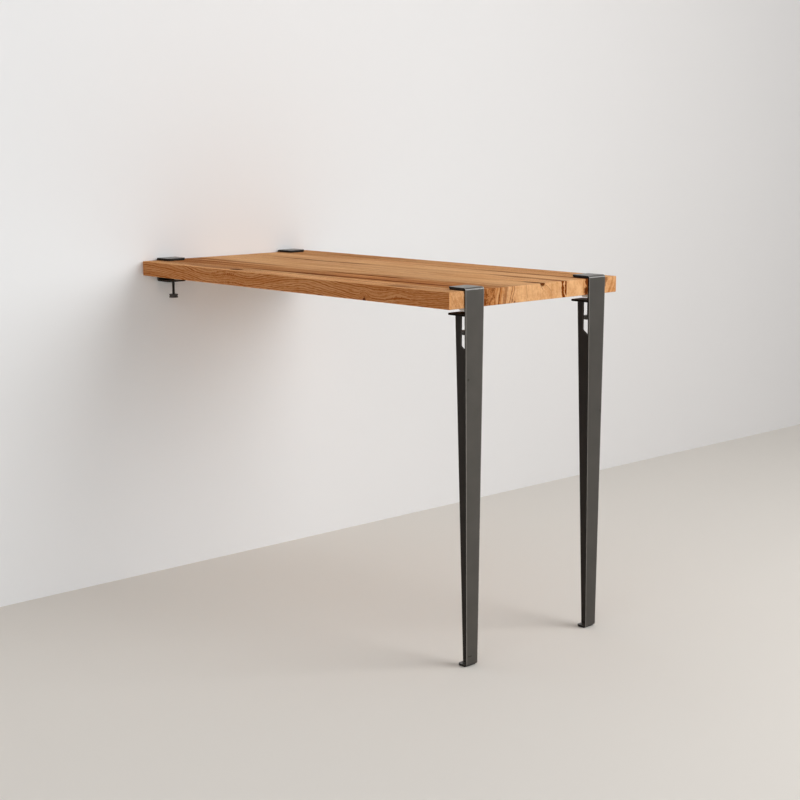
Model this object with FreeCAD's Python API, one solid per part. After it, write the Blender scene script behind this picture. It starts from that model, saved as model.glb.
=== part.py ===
import FreeCAD, Part
import math
import os

# Wall-mounted table: a timber top held at one short end by two folded wall brackets and
# carried at the other by two folded strip legs. All four grip the top with a screw clamp,
# between a thin liner above it and a pressure pad below.
#
# Millimetres. Origin: the wall plane, midway between the brackets, at mid-thickness of the
# top. +X runs out of the wall along the top, +Y along the wall, +Z up.

# ---- driving dimensions -------------------------------------------------------------------

# Top
TOP_LENGTH = 1200.0
TOP_WIDTH = 600.0
TOP_THICKNESS = 40.0
TOP_HEIGHT = 900.0            # upper face above the floor
STAVE_SHARES = (70, 83, 45, 63, 50, 41, 56, 62, 70, 60)   # relative widths, left to right

# Folded steel plate
STEEL = 4.0                   # thickness
BEND_RADIUS = 2.5             # inside of each fold
FOLD_CLEARANCE = 0.3          # between the inside of a fold and the edge that sits in it

# Legs
LEG_INSET = 80.0              # centre line in from each long edge of the top
STRIP_TOP_WIDTH = 62.0
STRIP_FOOT_WIDTH = 38.0
LIP_REACH = 52.0              # over the top, from its end face
LIP_CORNER = 5.0
FOOT_REACH = 26.0             # under the rib, from the strip's back
FOOT_CORNER = 7.0
RIB_THICKNESS = 4.0
RIB_TOP_DEPTH = 57.0
RIB_FOOT_DEPTH = 24.5
POST_WIDTH = 19.0             # part of the rib that runs up beside the window to the flange
WINDOW_HEIGHT = 73.0          # down the post, from the underside of the flange
WINDOW_SLOPE = 35.0           # degrees, of the window's lower edge
WINDOW_CORNER = 5.0
FLANGE_THICKNESS = 5.0
FLANGE_WIDTH = 49.0
FLANGE_REACH = 60.0           # from the strip's back
FLANGE_CORNER = 4.0
LEG_SCREW_INSET = 22.0        # screw axis in from the end face of the top
GLIDE_THICKNESS = 2.0
GLIDE_MARGIN = 1.0            # glide set back from the outline of the foot
GLIDE_CORNER = 6.0

# Wall brackets
BRACKET_INSET = 80.0          # centre line in from each long edge of the top
BRACKET_WIDTH = 60.0
BRACKET_REACH = 53.0          # both plates, from the end face of the top
BRACKET_CORNER = 8.0
BRACKET_SCREW_INSET = 31.5    # screw axis in from the end face of the top
WALL_HOLE_SPACING = 24.0      # upper to lower hole of one bracket
WALL_HOLE_RADIUS = 2.75
COUNTERSINK_RADIUS = 5.25

# Liners, between the top and the plates that lie over it
LINER_THICKNESS = 3.0
LINER_MARGIN = 1.0            # liner set back from the outline of its plate

# Screw clamp, the same four times
CLAMP_GAP = 15.0              # underside of the top to the lower jaw
SCREW_RADIUS = 4.0
SCREW_CLEARANCE = 0.05        # radial, in the jaw's thread and in the pad's socket
SCREW_CHAMFER = 1.0
KNOB_DROP = 55.0              # underside of the top to the knob
KNOB_HEIGHT = 10.0
KNOB_RADIUS = 12.5
KNOB_WAIST = 0.9              # depth of the groove round the knob
KNOB_RIM = 2.6                # height of each rim beside the groove
KNOB_CHAMFER = 0.8
PAD_RADIUS = 18.0
PAD_THICKNESS = 8.0
PAD_CHAMFER = 1.2
SOCKET_DEPTH = 5.0
SOCKET_END_CLEARANCE = 0.2

# ---- places worked out from them ----------------------------------------------------------

TOP_Z = TOP_THICKNESS / 2                      # upper face of the top
UNDER_Z = -TOP_THICKNESS / 2                   # underside of the top
FLOOR_Z = TOP_Z - TOP_HEIGHT
WALL_END_X = STEEL                             # the top's end, against the brackets' webs
FREE_END_X = WALL_END_X + TOP_LENGTH           # the top's other end, against the strips
LEAF_Z = TOP_Z + LINER_THICKNESS               # underside of the lips and of the upper leaves
JAW_Z = UNDER_Z - CLAMP_GAP                    # upper face of the flanges and lower leaves
FLANGE_UNDER_Z = JAW_Z - FLANGE_THICKNESS
FOOT_Z = FLOOR_Z + GLIDE_THICKNESS             # underside of the steel foot
EDGE_RADIUS = BEND_RADIUS + FOLD_CLEARANCE     # eased edges of the top stay clear of the folds
THREAD_RADIUS = SCREW_RADIUS + SCREW_CLEARANCE
SIDES = (("left", -1), ("right", 1))

UP = FreeCAD.Vector(0, 0, 1)
TOLERANCE = 0.01              # for telling whether an edge lies where it is looked for


# ---- outlines -----------------------------------------------------------------------------

def rounded_outline(corners, place):
    """Closed face through corners (u, v, radius), each corner rounded by a tangent arc.

    place turns (u, v) into a point in space, which chooses the plane of the outline.
    """
    starts, ends, middles = [], [], []
    count = len(corners)
    for i, (u, v, radius) in enumerate(corners):
        corner = FreeCAD.Vector(u, v, 0)
        before = FreeCAD.Vector(*corners[i - 1][:2], 0) - corner
        after = FreeCAD.Vector(*corners[(i + 1) % count][:2], 0) - corner
        before.normalize()
        after.normalize()
        half_angle = before.getAngle(after) / 2
        setback = radius / math.tan(half_angle)
        bisector = before + after
        bisector.normalize()
        to_arc = radius / math.sin(half_angle) - radius
        starts.append(corner + before * setback)
        ends.append(corner + after * setback)
        middles.append(corner + bisector * to_arc)

    edges = []
    for i in range(count):
        if corners[i][2] > 0:
            arc_points = [place(p.x, p.y) for p in (starts[i], middles[i], ends[i])]
            edges.append(Part.Arc(*arc_points).toShape())
        line_end = starts[(i + 1) % count]
        if (line_end - ends[i]).Length > TOLERANCE:
            edges.append(Part.makeLine(place(ends[i].x, ends[i].y), place(line_end.x, line_end.y)))
    return Part.Face(Part.Wire(edges))


def side_plane(y):
    """Plane across Y, so that an outline is drawn in X and Z."""
    return lambda x, z: FreeCAD.Vector(x, y, z)


def front_plane(x, centre_y):
    """Plane across X, so that an outline is drawn in Z and in Y from a centre line."""
    return lambda y, z: FreeCAD.Vector(x, centre_y + y, z)


def level_plane(z, centre_y):
    """Level plane, so that an outline is drawn in X and in Y from a centre line."""
    return lambda x, y: FreeCAD.Vector(x, centre_y + y, z)


def turned(profile, axis_x, axis_y):
    """Solid of revolution about a vertical axis, from (radius, height) points."""
    points = [FreeCAD.Vector(axis_x + radius, axis_y, z) for radius, z in profile]
    face = Part.Face(Part.makePolygon(points + points[:1]))
    return face.revolve(FreeCAD.Vector(axis_x, axis_y, 0), UP, 360)


def folded_plate(web_x, outward, centre_y, width, reaches, levels):
    """Plate folded twice: an upper leaf, a web and a lower leaf, of one width.

    web_x is the inner face of the web, and outward (+1 or -1) the side its thickness is on.
    reaches are the leaves' lengths from that face, and levels their inner faces' heights.
    """
    upper_reach, lower_reach = reaches
    upper_z, lower_z = levels
    outer_radius = BEND_RADIUS + STEEL
    back_x = web_x + outward * STEEL
    upper_end = web_x - outward * upper_reach
    lower_end = web_x - outward * lower_reach
    corners = [
        (upper_end, upper_z, 0),
        (upper_end, upper_z + STEEL, 0),
        (back_x, upper_z + STEEL, outer_radius),
        (back_x, lower_z - STEEL, outer_radius),
        (lower_end, lower_z - STEEL, 0),
        (lower_end, lower_z, 0),
        (web_x, lower_z, BEND_RADIUS),
        (web_x, upper_z, BEND_RADIUS),
    ]
    face = rounded_outline(corners, side_plane(centre_y - width / 2))
    return face.extrude(FreeCAD.Vector(0, width, 0))


def round_leaf_corners(solid, end_x, level_z, radius):
    """Round the two free corners of the leaf that ends at end_x and contains level_z."""
    picked = []
    for edge in solid.Edges:
        box = edge.BoundBox
        at_end = abs(box.XMin - end_x) < TOLERANCE and box.XLength < TOLERANCE
        upright = box.ZLength > STEEL / 2 and box.YLength < STEEL / 2
        if at_end and upright and box.ZMin < level_z < box.ZMax:
            picked.append(edge)
    return solid.makeFillet(radius, picked)


# ---- the top ------------------------------------------------------------------------------

def build_staves():
    """Full-length staves glued side by side, with eased edges round the finished top."""
    staves = {}
    left_y = -TOP_WIDTH / 2
    for number, share in enumerate(STAVE_SHARES, start=1):
        width = TOP_WIDTH * share / sum(STAVE_SHARES)
        corner = FreeCAD.Vector(WALL_END_X, left_y, UNDER_Z)
        stave = Part.makeBox(TOP_LENGTH, width, TOP_THICKNESS, corner)
        eased = []
        for edge in stave.Edges:
            box = edge.BoundBox
            across_end = box.YLength > width / 2
            on_outer_side = abs(abs(box.Center.y) - TOP_WIDTH / 2) < TOLERANCE
            if across_end or (on_outer_side and box.XLength > TOP_LENGTH / 2):
                eased.append(edge)
        staves[f"tabletop_stave_{number}"] = stave.makeFillet(EDGE_RADIUS, eased)
        left_y += width
    return staves


# ---- legs ---------------------------------------------------------------------------------

def build_strip(centre_y):
    """Tapered strip, folded over the top as a lip and under the rib as a foot."""
    levels = (LEAF_Z, FOOT_Z + STEEL)
    strip = folded_plate(FREE_END_X, 1, centre_y, STRIP_TOP_WIDTH, (LIP_REACH, FOOT_REACH), levels)
    half_top = STRIP_TOP_WIDTH / 2
    half_foot = STRIP_FOOT_WIDTH / 2
    lip_top = LEAF_Z + STEEL
    front = [
        (-half_foot, FOOT_Z, 0),
        (half_foot, FOOT_Z, 0),
        (half_top, LEAF_Z, 0),
        (half_top, lip_top, 0),
        (-half_top, lip_top, 0),
        (-half_top, LEAF_Z, 0),
    ]
    lip_end_x = FREE_END_X - LIP_REACH
    foot_end_x = FREE_END_X - FOOT_REACH
    start_x = min(lip_end_x, foot_end_x)
    run = FreeCAD.Vector(FREE_END_X + STEEL - start_x, 0, 0)
    taper = rounded_outline(front, front_plane(start_x, centre_y)).extrude(run)
    strip = strip.common(taper).Solids[0]
    strip = round_leaf_corners(strip, lip_end_x, LEAF_Z + STEEL / 2, LIP_CORNER)
    return round_leaf_corners(strip, foot_end_x, FOOT_Z + STEEL / 2, FOOT_CORNER)


def build_rib(centre_y):
    """Web plate behind the strip, cut away beside the clamp screw as a window."""
    foot_top = FOOT_Z + STEEL
    post_x = FREE_END_X - RIB_TOP_DEPTH + POST_WIDTH
    window_low = FLANGE_UNDER_Z - WINDOW_HEIGHT
    window_fall = (FREE_END_X - post_x) * math.tan(math.radians(WINDOW_SLOPE))
    corners = [
        (FREE_END_X, foot_top, BEND_RADIUS + FOLD_CLEARANCE),
        (FREE_END_X, window_low - window_fall, 0),
        (post_x, window_low, WINDOW_CORNER),
        (post_x, FLANGE_UNDER_Z, 0),
        (FREE_END_X - RIB_TOP_DEPTH, FLANGE_UNDER_Z, 0),
        (FREE_END_X - RIB_FOOT_DEPTH, foot_top, 0),
    ]
    face = rounded_outline(corners, side_plane(centre_y - RIB_THICKNESS / 2))
    return face.extrude(FreeCAD.Vector(0, RIB_THICKNESS, 0))


def build_flange(centre_y):
    """Fixed lower jaw of a leg's clamp, tapped for the screw."""
    half = FLANGE_WIDTH / 2
    corners = [
        (FREE_END_X, -half, 0),
        (FREE_END_X, half, 0),
        (FREE_END_X - FLANGE_REACH, half, FLANGE_CORNER),
        (FREE_END_X - FLANGE_REACH, -half, FLANGE_CORNER),
    ]
    face = rounded_outline(corners, level_plane(FLANGE_UNDER_Z, centre_y))
    flange = face.extrude(UP * FLANGE_THICKNESS)
    return flange.cut(thread_hole(FREE_END_X - LEG_SCREW_INSET, centre_y, FLANGE_THICKNESS))


def build_glide(centre_y):
    """Thin glide stuck under the foot, on its flat part."""
    half = STRIP_FOOT_WIDTH / 2 - GLIDE_MARGIN
    inner_x = FREE_END_X - FOOT_REACH + GLIDE_MARGIN
    outer_x = FREE_END_X - BEND_RADIUS
    corners = [
        (outer_x, -half, 0),
        (outer_x, half, 0),
        (inner_x, half, GLIDE_CORNER),
        (inner_x, -half, GLIDE_CORNER),
    ]
    face = rounded_outline(corners, level_plane(FLOOR_Z, centre_y))
    return face.extrude(UP * GLIDE_THICKNESS)


# ---- wall brackets ------------------------------------------------------------------------

def build_bracket(centre_y):
    """C-shaped bracket, with two countersunk wall-screw holes behind the end of the top."""
    reaches = (BRACKET_REACH, BRACKET_REACH)
    levels = (LEAF_Z, JAW_Z)
    bracket = folded_plate(WALL_END_X, -1, centre_y, BRACKET_WIDTH, reaches, levels)
    end_x = WALL_END_X + BRACKET_REACH
    bracket = round_leaf_corners(bracket, end_x, LEAF_Z + STEEL / 2, BRACKET_CORNER)
    bracket = round_leaf_corners(bracket, end_x, JAW_Z - STEEL / 2, BRACKET_CORNER)
    bracket = bracket.cut(thread_hole(WALL_END_X + BRACKET_SCREW_INSET, centre_y, STEEL))
    for hole_z in (-WALL_HOLE_SPACING / 2, WALL_HOLE_SPACING / 2):
        bracket = bracket.cut(countersunk_hole(centre_y, hole_z))
    return bracket


def countersunk_hole(centre_y, hole_z):
    """Hole through the web, widened by a 90 degree cone on its inner face."""
    wall_point = FreeCAD.Vector(0, centre_y, hole_z)
    outward = FreeCAD.Vector(1, 0, 0)
    hole = Part.makeCylinder(WALL_HOLE_RADIUS, STEEL, wall_point, outward)
    depth = COUNTERSINK_RADIUS - WALL_HOLE_RADIUS
    cone_start = FreeCAD.Vector(STEEL - depth, centre_y, hole_z)
    cone = Part.makeCone(WALL_HOLE_RADIUS, COUNTERSINK_RADIUS, depth, cone_start, outward)
    return hole.fuse(cone)


# ---- liners -------------------------------------------------------------------------------

def build_liner(end_x, inward, centre_y, width, reach, corner):
    """Thin liner on the top, under a leaf that reaches over it from its end at end_x.

    inward (+1 or -1) points from that end along the top. width, reach and corner are the
    leaf's; the liner is set back from its outline and keeps off the eased edge and the fold.
    """
    half = width / 2 - LINER_MARGIN
    start_x = end_x + inward * EDGE_RADIUS
    far_x = end_x + inward * (reach - LINER_MARGIN)
    radius = max(corner - LINER_MARGIN, 0)
    corners = [
        (start_x, -half, 0),
        (far_x, -half, radius),
        (far_x, half, radius),
        (start_x, half, 0),
    ]
    face = rounded_outline(corners, level_plane(TOP_Z, centre_y))
    return face.extrude(UP * LINER_THICKNESS)


# ---- screw clamp --------------------------------------------------------------------------

def thread_hole(axis_x, axis_y, thickness):
    """Cutter for the tapped hole in a lower jaw of this thickness."""
    start = FreeCAD.Vector(axis_x, axis_y, JAW_Z - thickness)
    return Part.makeCylinder(THREAD_RADIUS, thickness, start, UP)


def build_screw(axis_x, axis_y):
    """Threaded rod from the knob, through the lower jaw, into the pad's socket."""
    bottom = UNDER_Z - KNOB_DROP - KNOB_HEIGHT
    tip = UNDER_Z - PAD_THICKNESS + SOCKET_DEPTH - SOCKET_END_CLEARANCE
    profile = [
        (0, bottom),
        (SCREW_RADIUS, bottom),
        (SCREW_RADIUS, tip - SCREW_CHAMFER),
        (SCREW_RADIUS - SCREW_CHAMFER, tip),
        (0, tip),
    ]
    return turned(profile, axis_x, axis_y)


def build_knob(axis_x, axis_y):
    """Round knob with a rim above and below a shallow groove, pressed on the screw."""
    top = UNDER_Z - KNOB_DROP
    bottom = top - KNOB_HEIGHT
    rim = KNOB_RADIUS
    waist = KNOB_RADIUS - KNOB_WAIST
    profile = [
        (SCREW_RADIUS, bottom),
        (rim - KNOB_CHAMFER, bottom),
        (rim, bottom + KNOB_CHAMFER),
        (rim, bottom + KNOB_RIM),
        (waist, bottom + KNOB_RIM + KNOB_WAIST),
        (waist, top - KNOB_RIM - KNOB_WAIST),
        (rim, top - KNOB_RIM),
        (rim, top - KNOB_CHAMFER),
        (rim - KNOB_CHAMFER, top),
        (SCREW_RADIUS, top),
    ]
    return turned(profile, axis_x, axis_y)


def build_pad(axis_x, axis_y):
    """Pressure pad under the top, with a blind socket that the screw turns in."""
    bottom = UNDER_Z - PAD_THICKNESS
    socket_top = bottom + SOCKET_DEPTH
    profile = [
        (THREAD_RADIUS, bottom),
        (PAD_RADIUS - PAD_CHAMFER, bottom),
        (PAD_RADIUS, bottom + PAD_CHAMFER),
        (PAD_RADIUS, UNDER_Z),
        (0, UNDER_Z),
        (0, socket_top),
        (THREAD_RADIUS, socket_top),
    ]
    return turned(profile, axis_x, axis_y)


def build_clamp(name, axis_x, axis_y):
    """The three pieces of one clamp screw."""
    return {
        f"{name}_screw": build_screw(axis_x, axis_y),
        f"{name}_knob": build_knob(axis_x, axis_y),
        f"{name}_pressure_pad": build_pad(axis_x, axis_y),
    }


# ---- assembly -----------------------------------------------------------------------------

def build_leg(side, sign):
    name = f"leg_{side}"
    centre_y = sign * (TOP_WIDTH / 2 - LEG_INSET)
    pieces = {
        f"{name}_strip": build_strip(centre_y),
        f"{name}_rib": build_rib(centre_y),
        f"{name}_flange": build_flange(centre_y),
        f"{name}_foot_glide": build_glide(centre_y),
        f"{name}_lip_liner": build_liner(
            FREE_END_X, -1, centre_y, STRIP_TOP_WIDTH, LIP_REACH, LIP_CORNER
        ),
    }
    pieces.update(build_clamp(name, FREE_END_X - LEG_SCREW_INSET, centre_y))
    return pieces


def build_wall_bracket(side, sign):
    name = f"wall_bracket_{side}"
    centre_y = sign * (TOP_WIDTH / 2 - BRACKET_INSET)
    pieces = {
        name: build_bracket(centre_y),
        f"{name}_liner": build_liner(
            WALL_END_X, 1, centre_y, BRACKET_WIDTH, BRACKET_REACH, BRACKET_CORNER
        ),
    }
    pieces.update(build_clamp(name, WALL_END_X + BRACKET_SCREW_INSET, centre_y))
    return pieces


def build_table():
    pieces = build_staves()
    for side, sign in SIDES:
        pieces.update(build_leg(side, sign))
        pieces.update(build_wall_bracket(side, sign))
    return pieces


os.makedirs("parts", exist_ok=True)
for node, shape in build_table().items():
    solid = shape.Solids[0]
    assert len(shape.Solids) == 1 and solid.isValid(), node
    solid.exportStep(os.path.join("parts", f"{node}.step"))
    print(f"{node}: {solid.Volume / 1000:.1f} cm3")
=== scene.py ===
import math

import bmesh
import bpy
import numpy as np
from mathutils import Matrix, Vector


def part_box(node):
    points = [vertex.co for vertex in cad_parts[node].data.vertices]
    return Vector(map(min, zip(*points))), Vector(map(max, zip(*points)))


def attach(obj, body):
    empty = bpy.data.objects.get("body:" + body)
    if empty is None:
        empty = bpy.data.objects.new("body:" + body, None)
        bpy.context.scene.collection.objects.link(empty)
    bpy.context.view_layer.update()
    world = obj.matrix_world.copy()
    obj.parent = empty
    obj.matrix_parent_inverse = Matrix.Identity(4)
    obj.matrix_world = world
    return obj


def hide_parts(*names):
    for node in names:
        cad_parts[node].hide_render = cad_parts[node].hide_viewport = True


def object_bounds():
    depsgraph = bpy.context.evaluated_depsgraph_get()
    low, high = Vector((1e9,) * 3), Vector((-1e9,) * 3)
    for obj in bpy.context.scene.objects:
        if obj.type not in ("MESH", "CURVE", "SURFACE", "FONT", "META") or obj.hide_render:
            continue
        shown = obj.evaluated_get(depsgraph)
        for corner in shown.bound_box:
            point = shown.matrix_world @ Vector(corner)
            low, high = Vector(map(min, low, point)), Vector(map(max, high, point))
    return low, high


# Looks of a wall-mounted table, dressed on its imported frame: oak staves, folded steel legs and
# brackets with rounded edges and weld beads, threaded clamp screws, knobs and pressure pads.
# Lengths are millimetres until a mesh is made; Blender's own unit is the metre.

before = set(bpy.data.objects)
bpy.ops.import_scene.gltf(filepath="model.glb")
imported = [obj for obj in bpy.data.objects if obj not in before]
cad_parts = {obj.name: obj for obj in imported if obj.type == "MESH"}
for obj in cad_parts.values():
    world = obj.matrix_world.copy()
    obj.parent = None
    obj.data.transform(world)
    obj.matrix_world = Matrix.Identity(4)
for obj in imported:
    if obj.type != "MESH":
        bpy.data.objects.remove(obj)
cad_low, cad_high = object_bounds()

MM = 0.001
MERGED = 1e-7                                  # metres between points that are one point
SHARP = math.radians(40)


def span(node):
    """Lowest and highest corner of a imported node, in millimetres."""
    low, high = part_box(node)
    return np.array(low) / MM, np.array(high) / MM


# ---- sizes --------------------------------------------------------------------------------

SIDES = ("left", "right")
STAVES = tuple(range(1, 11))

top_low = np.min([span(f"tabletop_stave_{n}")[0] for n in STAVES], axis=0)
top_high = np.max([span(f"tabletop_stave_{n}")[1] for n in STAVES], axis=0)
floor_z = span("leg_left_foot_glide")[0][2]

TABLE_MIDDLE = np.array([0.7, 0.0, -0.2])      # metres, where the lamps aim
STEEL = top_low[0]                             # the webs lie between the wall and the top
BEND_RADIUS = 2.5
FOLD_RADIUS = BEND_RADIUS + STEEL / 2          # of the plate's mid-plane
EASED_EDGE = 1.6                               # round the finished top
GLUE_EDGE = 0.2                                # where two staves meet
PLATE_EDGE = 0.6                               # softened by the coating
GLIDE_EDGE = 0.5
LINER_EDGE = 0.4
BORE_EDGE = 0.35
HIGHLIGHT_BAND = 2.2                              # flat band beside an edge, over which the painted edge highlight fades in
BAND_HIGHLIGHT, CUT_SHADE = 0.8, 2.0                 # edge values where the painted highlight starts, and of the painted shade on the cut side
LIP_CORNER = 5.0
FOOT_CORNER = 7.0
RIB_CORNER = 3.2                               # clears the inside of the strip's fold
STRIP_FOOT_WIDTH = 38.0
RUNG_SPACING = 60.0                            # of the stations down a strip
POST_WIDTH = 19.0
RIB_FOOT_DEPTH = 24.5
WINDOW_HEIGHT = 73.0
WINDOW_SLOPE = 35.0                            # degrees
WINDOW_CORNER = 5.0
FLANGE_CORNER = 4.0
BRACKET_CORNER = 8.0
GLIDE_CORNER = 6.0
LINER_CORNERS = {"leg": LIP_CORNER - 1.0, "bracket": BRACKET_CORNER - 1.0}
BORE_RADIUS = 4.05
WALL_HOLE_RADIUS = 2.75
WALL_HOLE_SPACING = 24.0
COUNTERSINK_RADIUS = 5.25
THREAD_PITCH = 1.25
THREAD_DEPTH = 0.7
THREAD_STEPS = 9                               # to one turn of it
THREAD_STEEPNESS, THREAD_ROOT = 1.3, 0.15      # which cut the wave off flat at crest and root
WELD_LEG = 2.6
WELD_RIPPLE = 1.9                              # from one ripple of the bead to the next
WELD_RIPPLE_SHARE = 0.12                       # of the bead's radius
WELD_ROOT = 0.3                                # how far a bead is let into its two faces
SOCKET_HALF_WIDTH = 2.0                        # of the hexagon in the end of a screw
SOCKET_DEPTH = 3.0
SOCKET_MOUTH = 2.7
SCREW_CHAMFER = 0.5
SCREW_OVERLAP = 1.0                            # of the thread with the knob, and short of its top
KNOB_RIM, KNOB_GROOVE, KNOB_EDGE = 2.6, 0.9, 0.7
KNOB_DISH, KNOB_HUB = 0.6, 0.8                 # how deep it is, and the width of hub and slope
FLUTES, FLUTE_DEPTH = 40, 0.5
PAD_SOCKET_DEPTH = 5.0
PAD_LOWER_EDGE, PAD_UPPER_EDGE = 1.3, 0.5
RECESS_MARGIN, RECESS_DEPTH = 3.5, 0.8         # of the pad's lower face

# How many steps a rounded part takes, and how many points a round one has.
EDGE_STEPS, STAVE_STEPS, CORNER_STEPS, RIB_STEPS, FOLD_STEPS = 3, 5, 7, 10, 10
KNOB_STEPS, PAD_STEPS, BEAD_STEPS = 3, 4, 5
HOLE_TURNS, SCREW_TURNS, PAD_TURNS, KNOB_TURNS = 24, 36, 72, 240


# ---- meshes -------------------------------------------------------------------------------

def unit(vector):
    return vector / np.linalg.norm(vector)


def quarter(steps):
    """1 - sin a and 1 - cos a while a goes through a quarter turn, for a rounded corner."""
    angle = np.linspace(0, math.pi / 2, steps + 1)
    return 1 - np.sin(angle), 1 - np.cos(angle)


def full_turn(count):
    """The angles of points spread evenly over a full turn."""
    return np.arange(count) * 2 * math.pi / count


def grid_faces(rows, columns, close_columns=True, first=0):
    """Quads of a grid of points numbered row by row; the last column may join the first."""
    across = np.arange(columns if close_columns else columns - 1)
    down = np.arange(rows - 1)[:, None]
    here, beside = down * columns + across, down * columns + (across + 1) % columns
    quads = np.stack([here, beside, beside + columns, here + columns], axis=-1)
    return (quads.reshape(-1, 4) + first).tolist()


def capped_faces(rows, columns):
    """Quads of a tube numbered row by row, and a face over each of its two ends."""
    last = (rows - 1) * columns
    ends = [list(range(columns)), list(range(last, last + columns))]
    return grid_faces(rows, columns) + ends


def make_piece(name, shell, material, body, slot, nodes, weighted=True):
    """Closed mesh from a (points, faces, edge value) shell in millimetres, which rides on a body and
    stands for CAD nodes. The edge value, where there is any, runs from 0 on a face through 1 on a
    rounded edge to 2 on the flat cut side of a plate; from it the coat paints a highlight on the
    rounded edges and shade on the cut sides."""
    points, faces, edge_shading = shell
    mesh = bpy.data.meshes.new(name)
    mesh.from_pydata((np.asarray(points) * MM).tolist(), [], faces)
    if edge_shading is not None:
        attribute = mesh.attributes.new("edge_shading", "FLOAT", "POINT")
        attribute.data.foreach_set("value", np.asarray(edge_shading, np.float32))
    closed = bmesh.new()
    closed.from_mesh(mesh)
    bmesh.ops.remove_doubles(closed, verts=closed.verts, dist=MERGED)
    bmesh.ops.dissolve_degenerate(closed, edges=closed.edges, dist=MERGED)
    bmesh.ops.recalc_face_normals(closed, faces=closed.faces)
    closed.to_mesh(mesh)
    closed.free()
    mesh.shade_smooth()
    mesh.set_sharp_from_angle(angle=SHARP)
    made = bpy.data.objects.new(name, mesh)
    bpy.context.scene.collection.objects.link(made)
    made.data.materials.append(material)
    if weighted:
        normals = made.modifiers.new("flat faces stay flat", "WEIGHTED_NORMAL")
        normals.keep_sharp = True
    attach(made, body)
    if nodes:
        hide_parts(*nodes)


def joined(*shells):
    """One (points, faces, edge values) from several: each shell's face numbers follow the last one's."""
    points, faces, edge_shading, first = [], [], [], 0
    for shell_points, shell_faces, shell_edge_shading in shells:
        points.append(shell_points)
        edge_shading.append(shell_edge_shading)
        faces += [[corner + first for corner in face] for face in shell_faces]
        first += len(shell_points)
    return np.vstack(points), faces, np.concatenate(edge_shading)


def rounded_outline(corners, steps):
    """Closed outline through corners (u, v, radius).

    Each corner turns into the arc that touches both its sides. Its centre lies on the
    bisector, radius / sin(half the angle) from the corner, and the arc runs between the two
    touching points, radius / tan(half the angle) along the sides.
    """
    arcs = []
    for i, (u, v, radius) in enumerate(corners):
        corner = np.array([u, v], float)
        if radius == 0:
            arcs.append(corner[None])
            continue
        before = unit(np.array(corners[i - 1][:2]) - corner)
        after = unit(np.array(corners[(i + 1) % len(corners)][:2]) - corner)
        half = math.acos(np.clip(before @ after, -1, 1)) / 2
        centre = corner + unit(before + after) * radius / math.sin(half)
        start = corner + before * radius / math.tan(half) - centre
        end = corner + after * radius / math.tan(half) - centre
        angle = math.atan2(start[1], start[0])
        turn = math.atan2(start[0] * end[1] - start[1] * end[0], start @ end)
        angles = angle + turn * np.linspace(0, 1, steps + 1)
        arcs.append(centre + radius * np.stack([np.cos(angles), np.sin(angles)], axis=1))
    return np.vstack(arcs)


def outward(outline):
    """Mitre vector of each point of a closed outline: the sum of its two sides' unit normals,
    over one plus their dot product, turned to point away from the inside."""
    side = np.roll(outline, -1, axis=0) - outline
    side /= np.linalg.norm(side, axis=1)[:, None]
    normal = np.stack([side[:, 1], -side[:, 0]], axis=1)
    before = np.roll(normal, 1, axis=0)
    mitre = (before + normal) / (1 + (before * normal).sum(axis=1))[:, None]
    ahead = np.roll(outline, -1, axis=0)
    area = (outline[:, 0] * ahead[:, 1] - ahead[:, 0] * outline[:, 1]).sum()
    return mitre * np.sign(area)


def rounded_edge(thickness, edge):
    """(inset, height, edge value) rows round the edge of a plate, from its upper face to its lower
    one: inset = edge * (1 - sin a) and height = thickness / 2 - edge * (1 - cos a), mirrored, after
    a flat band beside the edge. The edge value, from which the coat paints a highlight and shade,
    is 0 on the faces, rises over the band to its value there, and then with the share of the turn,
    to the power 1.5, to its value on the flat cut side."""
    half = thickness / 2
    inset, fall = (edge * way for way in quarter(EDGE_STEPS))
    share = np.linspace(0, 1, EDGE_STEPS + 1)
    edge_shading = BAND_HIGHLIGHT + (CUT_SHADE - BAND_HIGHLIGHT) * share ** 1.5
    upper = np.vstack([(edge + HIGHLIGHT_BAND, half, 0.0), np.stack([inset, half - fall, edge_shading], 1)])
    return np.vstack([upper, upper[::-1] * (1, -1, 1)])


def rim(outline, profile, place):
    """The edge profile carried round an outline: point (k, j) is outline point j, moved in by
    the profile's inset k and up by its height k, with its edge value k."""
    inset, height, shading = profile[:, :1], profile[:, 1:2], profile[:, 2:]
    moved = outline[None] - outward(outline)[None] * inset[..., None]
    u, v = moved[..., 0], moved[..., 1]
    points = place(u, v, np.broadcast_to(height, u.shape))
    edge_shading = np.broadcast_to(shading, u.shape)
    return points.reshape(-1, 3), edge_shading.ravel()


def flat_plate(outline, thickness, edge, place):
    """Flat plate of any outline: a rounded rim between two flat faces."""
    profile = rounded_edge(thickness, edge)
    points, edge_shading = rim(outline, profile, place)
    return points, capped_faces(len(profile), len(outline)), edge_shading


def bore_profile(thickness, upper_radius, radius):
    """(radius, height) rows down a hole: a countersink at 45 degrees if the upper radius is
    larger, then the bore, with a softened edge at both faces."""
    half = thickness / 2
    cone = upper_radius - radius
    return np.array([
        (upper_radius + BORE_EDGE, half),
        (upper_radius, half - BORE_EDGE),
        (radius, half - BORE_EDGE - cone),
        (radius, BORE_EDGE - half),
        (radius + BORE_EDGE, -half),
    ])


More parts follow.
